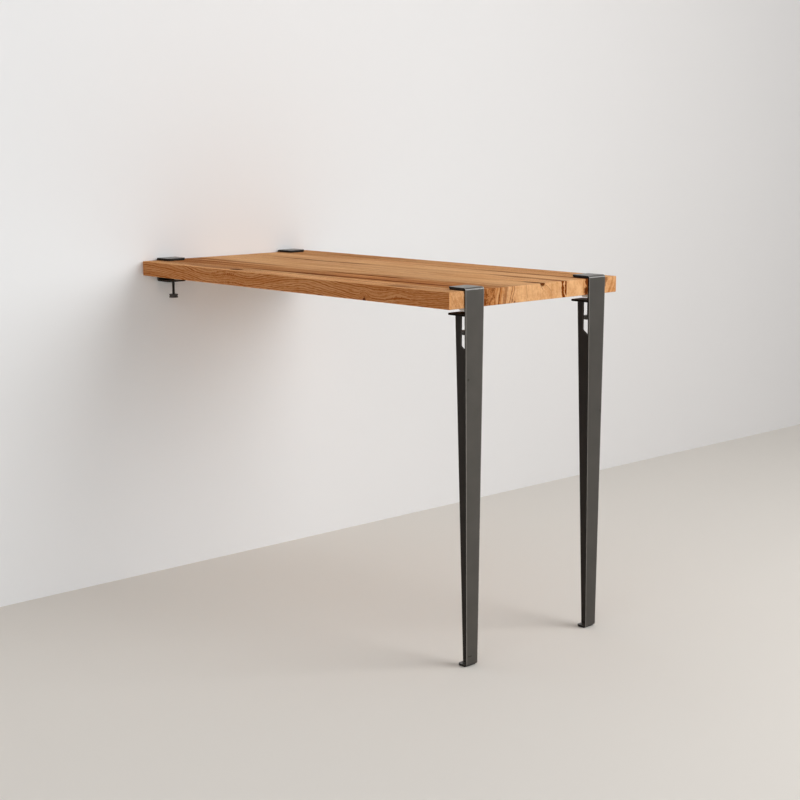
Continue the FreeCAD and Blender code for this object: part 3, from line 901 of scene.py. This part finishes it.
def coating_group():
    """Fine powder coat: a pebbled skin, faint cloudy patches, and masks for a painted highlight along
    the rounded edges, laid on as coat thinned by rubbing, and for the cut sides, which the material
    paints in shade.

    The highlight mask is 1 where the piece's edge value is near 1, broken up by noise, and Cut
    where it is near 2."""
    inputs = {"Point": (0, 0, 0), "Pebble": 1500.0, "Edge Shading": 0.0}
    outputs = {"Cloud": "Float", "Skin": "Float", "Edge Highlight": "Float", "Cut": "Float"}
    g = Group("powder coat", inputs, outputs)
    cloud = g.noise(g["Point"], 2.0, 0.5, 22.0)
    g.give("Cloud", g.step(cloud, 0.15, 0.85))
    g.give("Skin", g.noise(g["Point"], 2.0, 0.5, g["Pebble"]))
    broken = g.noise(g["Point"], 3.0, 0.6, 90.0)
    from_edge = g.math("ABSOLUTE", g.minus(g["Edge Shading"], 0.9))
    # Painted highlight along the rounded edges, broken up by noise like coat thinned by rubbing.
    edge = g.times(g.step(from_edge, 0.8, 0.1), g.step(broken, 0.30, 0.62, 0.75, 1.0))
    g.give("Edge Highlight", edge)
    g.give("Cut", g.step(g["Edge Shading"], 1.3, 1.8))
    return g.tree


COATING = coating_group()
# Painted shade: the dark tone that the cut sides of plates, the coat close to the floor and the table's
# right-hand side go towards.
SHADE_TONE = colour(20, 16, 12)
FLOOR_SHADE = (9.0, 3.0)                              # above the floor, where painted shade darkens the coat


def coated_material(name, dark, light, highlight_tone, roughness, pebble, depth, specular=0.4, cut=0.0,
                    right=0.0):
    """Coated metal or moulded plastic: two close tones, a pebbled skin, and a painted highlight along
    rounded edges, laid on as coat thinned by rubbing. Cut is how far painted shade darkens the cut
    sides of a plate and what is close to the floor, and right how far painted shade darkens the
    coat of the table's right-hand side."""
    material, g, shader, point = new_material(name, roughness, specular)
    edge_shading = g.node("ShaderNodeAttribute", {}, attribute_name="edge_shading").outputs["Fac"]
    coat = g.use(COATING, {"Point": point, "Pebble": pebble, "Edge Shading": edge_shading})
    base = g.mix(coat["Cloud"], colour(*dark), colour(*light))
    # Painted highlight on the rounded edges.
    base = g.mix(g.times(coat["Edge Highlight"], 0.9), base, colour(*highlight_tone))
    # Painted shade: the cut sides, the coat close to the floor and the table's right-hand side go towards a
    # dark tone.
    if cut:
        height = g.parts(point)["Z"]
        near_floor = g.step(height, *((float(floor_z) + above) * MM for above in FLOOR_SHADE))
        shaded = g.times(g.larger(coat["Cut"], near_floor), cut)
        darker = g.step(g.parts(point)["Y"], -0.2, 0.2, 0.0, right)
        base = g.mix(g.larger(shaded, darker), base, SHADE_TONE)
    g.feed(shader.inputs["Base Color"], base)
    rough = g.scaled(coat["Edge Highlight"], -0.10, roughness)
    rough = g.scaled(coat["Cloud"], 0.06, rough)
    rough = g.scaled(coat["Cut"], 0.5, rough)
    g.feed(shader.inputs["Roughness"], rough)
    relief(g, shader, coat["Skin"], depth)
    return material


# Dark and light tone, the tone of the painted highlight on rounded edges, roughness, pebbles to
# the metre, depth of the skin in metres, and the specular level where it isn't the usual one.
graphite = coated_material("graphite_coat", (67, 64, 59), (74, 70, 65), (150, 144, 137),
                           0.27, 1500.0, 0.00001, 0.30, cut=0.97, right=0.24)
# The rib and the weld beads: the same coat in painted shade, a darker copy for faces in shade.
graphite_shaded = coated_material("graphite_coat_painted_shade", (40, 35, 31), (46, 41, 37), (84, 78, 72),
                               0.36, 1500.0, 0.00001, 0.10, cut=0.6)
# The clamp flange under the top: the same coat in deeper painted shade.
graphite_deep_shaded = coated_material("graphite_coat_painted_deep_shade", (30, 25, 22), (34, 29, 26), (70, 64, 58),
                               0.42, 1500.0, 0.00001, 0.08, cut=0.6)
black_oxide = coated_material("black_oxide", (42, 38, 35), (50, 46, 42), (92, 86, 80), 0.38, 900.0, 0.00003)
knob_black = coated_material("knob_black", (52, 48, 45), (60, 56, 52), (104, 98, 92), 0.34, 1100.0, 0.00003)
nylon = coated_material("pale_nylon", (234, 227, 217), (241, 235, 226), (245, 240, 232),
                        0.5, 1200.0, 0.00004)
liner_black = coated_material("liner_rubber", (26, 22, 19), (34, 29, 25), (44, 39, 34),
                              0.7, 1400.0, 0.00005, 0.2)
glide_black = coated_material("glide_black", (28, 26, 24), (34, 32, 29), (52, 49, 46),
                              0.6, 1800.0, 0.00006, 0.2)


# ---- legs and brackets --------------------------------------------------------------------

COATED_STEEL = "graphite_powder_coat"           # the slot of strips, ribs, flanges and brackets


def strip_shell(side):
    """Tapered strip, folded over the top as a lip and under the rib as a foot."""
    low, high = span(f"leg_{side}_strip")
    centre_y = (low[1] + high[1]) / 2
    mid = STEEL / 2
    foot_end = span(f"leg_{side}_foot_glide")[0][0] - 1.0
    corners = [(low[0], high[2] - mid), (high[0] - mid, high[2] - mid),
               (high[0] - mid, low[2] + mid), (foot_end, low[2] + mid)]
    reach, drop = high[0] - low[0], high[2] - low[2]
    half_rung = RUNG_SPACING / 2
    line = fold_line(corners, np.arange(reach + half_rung, reach + drop - half_rung, RUNG_SPACING))
    wide, narrow = (high[1] - low[1]) / 2, STRIP_FOOT_WIDTH / 2

    def half_width(z):
        share = np.clip((z - low[2]) / (high[2] - STEEL - low[2]), 0, 1)
        return narrow + (wide - narrow) * share

    side_points = side_of_fold(line, half_width, LIP_CORNER, FOOT_CORNER)
    return ladder_plate(side_points, STEEL, PLATE_EDGE, on_fold(line, centre_y))


def rib_outline(side):
    """Rib in X and Z: full depth under the flange, cut away beside the screw as a window."""
    low, high = span(f"leg_{side}_rib")
    post_x = low[0] + POST_WIDTH
    window_low = high[2] - WINDOW_HEIGHT
    fall = (high[0] - post_x) * math.tan(math.radians(WINDOW_SLOPE))
    return [
        (high[0], low[2], RIB_CORNER),
        (high[0], window_low - fall, 0),
        (post_x, window_low, WINDOW_CORNER),
        (post_x, high[2], 0),
        (low[0], high[2], 0),
        (high[0] - RIB_FOOT_DEPTH, low[2], 0),
    ]


def rib_shell(side):
    low, high = span(f"leg_{side}_rib")
    centre_y = (low[1] + high[1]) / 2
    outline = rounded_outline(rib_outline(side), RIB_STEPS)
    return flat_plate(outline, high[1] - low[1], PLATE_EDGE,
                      lambda x, z, h: np.stack([x, centre_y + h, z], axis=-1))


def leaf_shell(node, square_end, edge, corner, bore_x=None):
    """Flat leaf that fills a node's box: square at one end (+1 or -1 along X), rounded at the
    other, and bored for a clamp screw at an X, if one is given."""
    low, high = span(node)
    (_, centre_y, centre_z), (length, width, thickness) = (low + high) / 2, high - low
    start = high[0] if square_end > 0 else low[0]
    sines, cosines = (corner * way for way in quarter(CORNER_STEPS))
    side = np.vstack([[(0.0, width / 2)], np.stack([length - sines, width / 2 - cosines], 1)])
    holes = []
    if bore_x is not None:
        bore = bore_profile(thickness, BORE_RADIUS, BORE_RADIUS)
        holes.append((square_end * (start - bore_x), bore))
    return ladder_plate(side, thickness, edge, lambda u, v, h: np.stack(
        [start - square_end * u, centre_y + v, centre_z + h], axis=-1), holes)


def weld_shell(side):
    """Beads on both sides of the rib, along the strip, the foot and the flange, and one under
    the flange where it meets the strip, each a little short of the ends of its seam."""
    low, high = span(f"leg_{side}_rib")
    flange_low, flange_high = span(f"leg_{side}_flange")
    centre_y, half = (low[1] + high[1]) / 2, (high[1] - low[1]) / 2
    flange_half = (flange_high[1] - flange_low[1]) / 2
    window_foot = rib_outline(side)[1][1]
    inner, back, under, floor = low[0], high[0], high[2], low[2]
    inwards, up, down = (-1, 0, 0), (0, 0, 1), (0, 0, -1)
    beads = []
    for sign in (-1, 1):
        y, outwards = centre_y + sign * half, (0, sign, 0)
        near, far = centre_y + sign * 2, centre_y + sign * (flange_half - 2)
        beads += [
            bead((back, y, floor + 6), (back, y, window_foot - 4), inwards, outwards),
            bead((inner + 1, y, under), (inner + POST_WIDTH - 1, y, under), down, outwards),
            bead((back - RIB_FOOT_DEPTH + 2, y, floor), (back - 4, y, floor), up, outwards),
            bead((back, near, under), (back, far, under), inwards, down),
        ]
    return joined(*beads)


def bracket_shell(side):
    """C-shaped bracket: two leaves on a web, with a bore and two countersunk wall holes."""
    low, high = span(f"wall_bracket_{side}")
    centre_y, half = (low[1] + high[1]) / 2, (high[1] - low[1]) / 2
    mid = STEEL / 2
    corners = [(high[0], low[2] + mid), (low[0] + mid, low[2] + mid),
               (low[0] + mid, high[2] - mid), (high[0], high[2] - mid)]
    leaf = high[0] - low[0] - mid
    fold_saving = FOLD_RADIUS * (2 - math.pi / 2)
    middle = leaf - (low[2] + mid) - fold_saving      # at Z = 0, between the wall screws
    line = fold_line(corners, [middle])
    bore_u = high[0] - axis_of(f"wall_bracket_{side}_screw")[0]
    countersunk = bore_profile(STEEL, COUNTERSINK_RADIUS, WALL_HOLE_RADIUS)[::-1] * (1, -1)
    holes = [(bore_u, bore_profile(STEEL, BORE_RADIUS, BORE_RADIUS))]
    holes += [(middle + sign * WALL_HOLE_SPACING / 2, countersunk) for sign in (-1, 1)]
    side_points = side_of_fold(line, lambda z: half + 0 * z, BRACKET_CORNER, BRACKET_CORNER)
    return ladder_plate(side_points, STEEL, PLATE_EDGE, on_fold(line, centre_y), holes)


# ---- clamp screws -------------------------------------------------------------------------

def axis_of(node):
    low, high = span(node)
    return (low[:2] + high[:2]) / 2


def screw_shell(name):
    """Threaded rod: radius = crest - depth * (1 - ridge), where the ridge is a flattened
    triangle wave of z / pitch - angle / turn, which winds right-handed. The thread runs out
    at both ends, and a hexagon socket is let into the lower one."""
    low, high = span(f"{name}_screw")
    knob_high = span(f"{name}_knob")[1][2]
    crest, bottom = (high[0] - low[0]) / 2, low[2]
    angle = full_turn(SCREW_TURNS)
    z = np.arange(knob_high - SCREW_OVERLAP, high[2] - SCREW_OVERLAP, THREAD_PITCH / THREAD_STEPS)
    phase = (z[:, None] / THREAD_PITCH - angle / (2 * math.pi)) % 1
    ridge = np.clip(THREAD_STEEPNESS * (1 - np.abs(2 * phase - 1)) - THREAD_ROOT, 0, 1)
    run_out = np.clip(np.minimum(z - z[0], z[-1] - z) / THREAD_PITCH, 0, 1)[:, None]
    threaded = crest - THREAD_DEPTH * (1 - ridge * run_out)
    hexagon = SOCKET_HALF_WIDTH / np.cos((angle + math.pi / 6) % (math.pi / 3) - math.pi / 6)
    lower = [(bottom + (SOCKET_DEPTH + 0.2), hexagon * 0.02), (bottom + SOCKET_DEPTH, hexagon),
             (bottom + 0.35, hexagon), (bottom, SOCKET_MOUTH), (bottom, crest - SCREW_CHAMFER),
             (bottom + SCREW_CHAMFER, crest), (z[0] - 0.3, crest)]
    upper = [(high[2], crest - 1.0), (high[2], 0.0)]
    smooth = [[np.broadcast_to(radius, angle.shape) for _, radius in rows] for rows in (lower, upper)]
    heights = np.concatenate([[row[0] for row in lower], z, [row[0] for row in upper]])
    return turned_shape(np.vstack([smooth[0], threaded, smooth[1]]), heights, axis_of(f"{name}_screw"))


def knob_shell(name):
    """Round knob: two fluted rims beside a smooth groove, dished underneath. On the rims the
    radius falls by flute depth * (1 - |cos(flutes / 2 * angle)|)."""
    low, high = span(f"{name}_knob")
    screw_low, screw_high = span(f"{name}_screw")
    rim_radius, inner = (high[0] - low[0]) / 2, (screw_high[0] - screw_low[0]) / 2
    bottom, top = low[2], high[2]
    sines, cosines = (KNOB_EDGE * way for way in quarter(KNOB_STEPS))
    lower = np.vstack([
        [(inner, bottom + KNOB_DISH), (inner + KNOB_HUB, bottom + KNOB_DISH),
         (inner + 2 * KNOB_HUB, bottom)],
        np.stack([rim_radius - sines, bottom + cosines], 1),
        [(rim_radius, bottom + KNOB_RIM), (rim_radius - KNOB_GROOVE, bottom + KNOB_RIM + KNOB_GROOVE)]])
    upper = lower[::-1] * (1, -1) + (0, bottom + top)
    profile = np.vstack([lower, upper])
    on_rim = profile[:, 0] > rim_radius - KNOB_GROOVE / 2
    flutes = FLUTE_DEPTH * (1 - np.abs(np.cos(FLUTES / 2 * full_turn(KNOB_TURNS))))
    return turned_shape(profile[:, :1] - np.outer(on_rim, flutes), profile[:, 1], axis_of(f"{name}_knob"))


def pad_shell(name):
    """Pressure pad: a soft-edged disc with a blind socket and a slight recess in its face."""
    low, high = span(f"{name}_pressure_pad")
    radius, bottom, top = (high[0] - low[0]) / 2, low[2], high[2]
    sines, cosines = quarter(PAD_STEPS)
    slope = RECESS_MARGIN + RECESS_DEPTH              # the recess's wall falls at 45 degrees
    profile = np.vstack([
        [(0.0, bottom + PAD_SOCKET_DEPTH), (BORE_RADIUS, bottom + PAD_SOCKET_DEPTH),
         (BORE_RADIUS, bottom + 0.5), (BORE_RADIUS + 0.5, bottom),
         (BORE_RADIUS + RECESS_MARGIN, bottom), (BORE_RADIUS + slope, bottom + RECESS_DEPTH),
         (radius - slope, bottom + RECESS_DEPTH), (radius - RECESS_MARGIN, bottom)],
        np.stack([radius - PAD_LOWER_EDGE * sines, bottom + PAD_LOWER_EDGE * cosines], 1),
        np.stack([radius - PAD_UPPER_EDGE * cosines, top - PAD_UPPER_EDGE * sines], 1),
        [(0.0, top)]])
    return turned_shape(np.repeat(profile[:, :1], PAD_TURNS, axis=1), profile[:, 1],
                        axis_of(f"{name}_pressure_pad"))


def make_clamp(name):
    """Screw, knob and pad of one clamp, on the two bodies that turn and slide."""
    screw_body, pad_body = f"{name}_clamp_screw", f"{name}_pad"
    make_piece(f"{name}_threaded_rod", screw_shell(name), black_oxide, screw_body, "black_screw",
               [f"{name}_screw"])
    make_piece(f"{name}_fluted_knob", knob_shell(name), knob_black, screw_body, "black_knob",
               [f"{name}_knob"], weighted=False)
    make_piece(f"{name}_nylon_pad", pad_shell(name), nylon, pad_body, "pale_nylon",
               [f"{name}_pressure_pad"])


def make_leg(side):
    name = f"leg_{side}"
    flange, glide, liner = f"{name}_flange", f"{name}_foot_glide", f"{name}_lip_liner"
    bore_x = axis_of(f"{name}_screw")[0]
    flange_leaf = leaf_shell(flange, 1, PLATE_EDGE, FLANGE_CORNER, bore_x)
    glide_leaf = leaf_shell(glide, 1, GLIDE_EDGE, GLIDE_CORNER)
    liner_leaf = leaf_shell(liner, 1, LINER_EDGE, LINER_CORNERS["leg"])
    for piece, shell, coat, slot, nodes in (
            ("folded_strip", strip_shell(side), graphite, COATED_STEEL, [f"{name}_strip"]),
            ("rib_plate", rib_shell(side), graphite_shaded, COATED_STEEL, [f"{name}_rib"]),
            ("clamp_flange", flange_leaf, graphite_deep_shaded, COATED_STEEL, [flange]),
            ("weld_beads", weld_shell(side), graphite_shaded, COATED_STEEL, []),
            ("glide", glide_leaf, glide_black, "glide_plastic", [glide]),
            ("rubber_liner", liner_leaf, liner_black, "liner_rubber", [liner])):
        make_piece(f"{name}_{piece}", shell, coat, "table", slot, nodes)
    make_clamp(name)


def make_bracket(side):
    name = f"wall_bracket_{side}"
    make_piece(f"{name}_folded_plate", bracket_shell(side), graphite, "table", COATED_STEEL, [name])
    liner_leaf = leaf_shell(f"{name}_liner", -1, LINER_EDGE, LINER_CORNERS["bracket"])
    make_piece(f"{name}_rubber_liner", liner_leaf, liner_black, "table", "liner_rubber",
               [f"{name}_liner"])
    make_clamp(name)


# ---- studio -------------------------------------------------------------------------------

PALE = colour(232, 230, 227)                    # what lies beyond the studio
# Painted shade: the even, darker tone of the floor behind the wall, which the wall keeps from the light.
BEHIND_WALL = colour(198, 192, 185)
ROOM, WALL_HEIGHT = 9.0, 3.2                    # metres, as all of the studio is
FLOOR_GAP, WALL_GAP = 0.0003, 0.0006            # between the part and the two sheets
TOP_OPENING, BRACKET_OPENING = 6.0, 1.5         # millimetres inside their backs
LIGHT_FALLOFF_SPAN = (-1.4, 2.4)                            # Y over which one tint goes over to the other, which on the backdrop is painted light and shade
FADED = (3.5, 6.5)                              # from the table to the pale surroundings
HIDDEN = (-0.002, -0.02)                        # X behind the wall
DAYLIGHT, WORLD_LEVEL = (0.98, 0.99, 1.0, 1.0), 0.38
CAMERA_PLACE = (3.7420, -2.8867, 0.3883)
CAMERA_PITCH, CAMERA_YAW = 9.631, 136.218       # degrees
FOCAL_LENGTH = 72.27                            # millimetres, as is the sensor's width


def seen_directly(g):
    """1 for what the camera sees, straight or in a gloss or a glass, and 0 for light."""
    path = g.tree.nodes.new("ShaderNodeLightPath").outputs
    seen = g.larger(path["Is Camera Ray"], path["Is Glossy Ray"])
    return g.larger(seen, path["Is Transmission Ray"])


def studio_paint(name, left, right):
    """Matt paint for a sheet, from one tint at the table's left to another at its right. On the
    backdrop this is painted light and shade: lighter at the left and darker at the right, as the
    lamps' light falls off across the wall.

    What is seen of it goes over to the pale surroundings far from the table, and to an even,
    darker tone behind the wall, which is painted shade for the floor that the wall keeps from the
    light. It is clear from behind, so that it hides nothing."""
    material, g, shader, point = new_material(name, 0.85, 0.2)
    across = g.step(g.parts(point)["Y"], *LIGHT_FALLOFF_SPAN)
    g.feed(shader.inputs["Base Color"], g.mix(across, left, right))
    away = g.length(g.away(point, TABLE_MIDDLE.tolist()))
    far = g.step(away, *FADED)
    hidden = g.step(g.parts(point)["X"], *HIDDEN)
    # Seen directly: the pale surroundings far off, and painted shade behind the wall.
    plain = g.node("ShaderNodeEmission", {"Color": g.mix(far, BEHIND_WALL, PALE)}).outputs[0]
    share = g.times(g.larger(far, hidden), seen_directly(g))
    both = g.node("ShaderNodeMixShader", {0: share, 1: shader.outputs[0], 2: plain}).outputs[0]
    behind = g.tree.nodes.new("ShaderNodeNewGeometry").outputs["Backfacing"]
    clear = g.tree.nodes.new("ShaderNodeBsdfTransparent").outputs[0]
    both = g.node("ShaderNodeMixShader", {0: behind, 1: both, 2: clear}).outputs[0]
    g.feed(g.tree.nodes["Material Output"].inputs["Surface"], both)
    return material


def sheet_of_stage(name, points, faces, material):
    mesh = bpy.data.meshes.new(name)
    mesh.from_pydata(points, [], faces)
    made = bpy.data.objects.new(name, mesh)
    made.data.materials.append(material)
    bpy.context.scene.collection.objects.link(made)
    return made


def openings_behind():
    """(low y, low z, high y, high z) in metres of what the backdrop leaves open: just inside the
    backs of the top and the brackets, so that they are lit and show from behind."""
    backs = [(top_low, top_high, TOP_OPENING)]
    backs += [(*span(f"wall_bracket_{side}"), BRACKET_OPENING) for side in SIDES]
    return [np.concatenate([low[1:] + inset, high[1:] - inset]) * MM for low, high, inset in backs]


def make_stage():
    """Pale floor, and a pale backdrop just behind the brackets."""
    ground, behind = floor_z * MM - FLOOR_GAP, cad_low[0] - WALL_GAP
    corners = [(-ROOM, -ROOM, ground), (ROOM, -ROOM, ground), (ROOM, ROOM, ground), (-ROOM, ROOM, ground)]
    floor_tone = colour(226, 221, 214)
    sheet_of_stage("studio_floor", corners, [(0, 1, 2, 3)],
                   studio_paint("floor_paint", floor_tone, floor_tone))
    opened = openings_behind()
    y = np.unique([-ROOM, ROOM, *(value for box in opened for value in box[[0, 2]])])
    z = np.unique([ground, ground + WALL_HEIGHT, *(value for box in opened for value in box[[1, 3]])])
    points = [(behind, across, up) for up in z for across in y]
    faces = []
    for quad in grid_faces(len(z), len(y), close_columns=False):
        middle = np.mean([points[corner][1:] for corner in quad], axis=0)
        if not any((box[:2] < middle).all() and (middle < box[2:]).all() for box in opened):
            faces.append(quad)
    # The backdrop's tints are painted light and shade, lighter at the table's left and darker at its right.
    wall = sheet_of_stage("studio_backdrop", points, faces,
                          studio_paint("backdrop_paint", colour(246, 247, 248), colour(228, 226, 225)))
    wall.visible_shadow = False


def area_light(name, direction, distance, size, level, only_gloss=False):
    """Soft lamp that shines on the table from a direction: a disc, or an upright rectangle if
    its size is a pair. A matt surface that faces it shows its own colour times the level, for
    which a lamp needs pi squared times the level times the distance squared, in watts. A
    gloss-only lamp shows in reflections alone, as a strip box does on dark metal."""
    lamp = bpy.data.lights.new(name, "AREA")
    if np.ndim(size):
        lamp.shape = "RECTANGLE"
        lamp.size, lamp.size_y = size
    else:
        lamp.shape, lamp.size = "DISK", size
    lamp.energy = level * (math.pi * distance) ** 2
    made = bpy.data.objects.new(name, lamp)
    towards = unit(np.array(direction, float))
    made.location = TABLE_MIDDLE + towards * distance
    made.rotation_mode = "QUATERNION"
    made.rotation_quaternion = Vector(-towards).to_track_quat("-Z", "Y")
    made.visible_camera = False
    made.visible_diffuse = not only_gloss
    bpy.context.scene.collection.objects.link(made)


def make_lights():
    area_light("key_light", (0.80, 0.38, 0.44), distance=3.9, size=3.0, level=0.64)
    area_light("fill_light", (0.40, -0.82, 0.30), distance=4.5, size=3.0, level=0.15)
    area_light("strip_box", (0.590, 0.650, 0.420), distance=4.43, size=(1.3, 2.2), level=0.55,
               only_gloss=True)


def make_world():
    """Even light from all around, and a pale surround where it is seen directly."""
    world = bpy.data.worlds.new("studio")
    world.use_nodes = True
    g = Graph(world.node_tree)
    light = g.tree.nodes["Background"]
    light.inputs["Color"].default_value = DAYLIGHT
    light.inputs["Strength"].default_value = WORLD_LEVEL
    pale = g.node("ShaderNodeBackground", {"Color": PALE}).outputs[0]
    both = g.node("ShaderNodeMixShader", {0: seen_directly(g), 1: light.outputs[0], 2: pale}).outputs[0]
    g.feed(g.tree.nodes["World Output"].inputs["Surface"], both)
    bpy.context.scene.world = world


def make_camera():
    """A long lens from the front left, a little above the top. Pitch is down from level, and
    yaw is from +X towards +Y."""
    pitch, yaw = math.radians(CAMERA_PITCH), math.radians(CAMERA_YAW)
    forward = (math.cos(yaw) * math.cos(pitch), math.sin(yaw) * math.cos(pitch), -math.sin(pitch))
    lens = bpy.data.cameras.new("camera")
    lens.sensor_width, lens.lens = 36.0, FOCAL_LENGTH
    camera = bpy.data.objects.new("camera", lens)
    camera.location = CAMERA_PLACE
    camera.rotation_mode = "QUATERNION"
    camera.rotation_quaternion = Vector(forward).to_track_quat("-Z", "Y")
    bpy.context.scene.collection.objects.link(camera)
    bpy.context.scene.camera = camera


# ---- all together -------------------------------------------------------------------------

make_camera()
make_stage()
make_lights()
make_world()
bpy.context.scene.view_settings.view_transform = "Standard"
make_top()
for side in SIDES:
    make_leg(side)
    make_bracket(side)
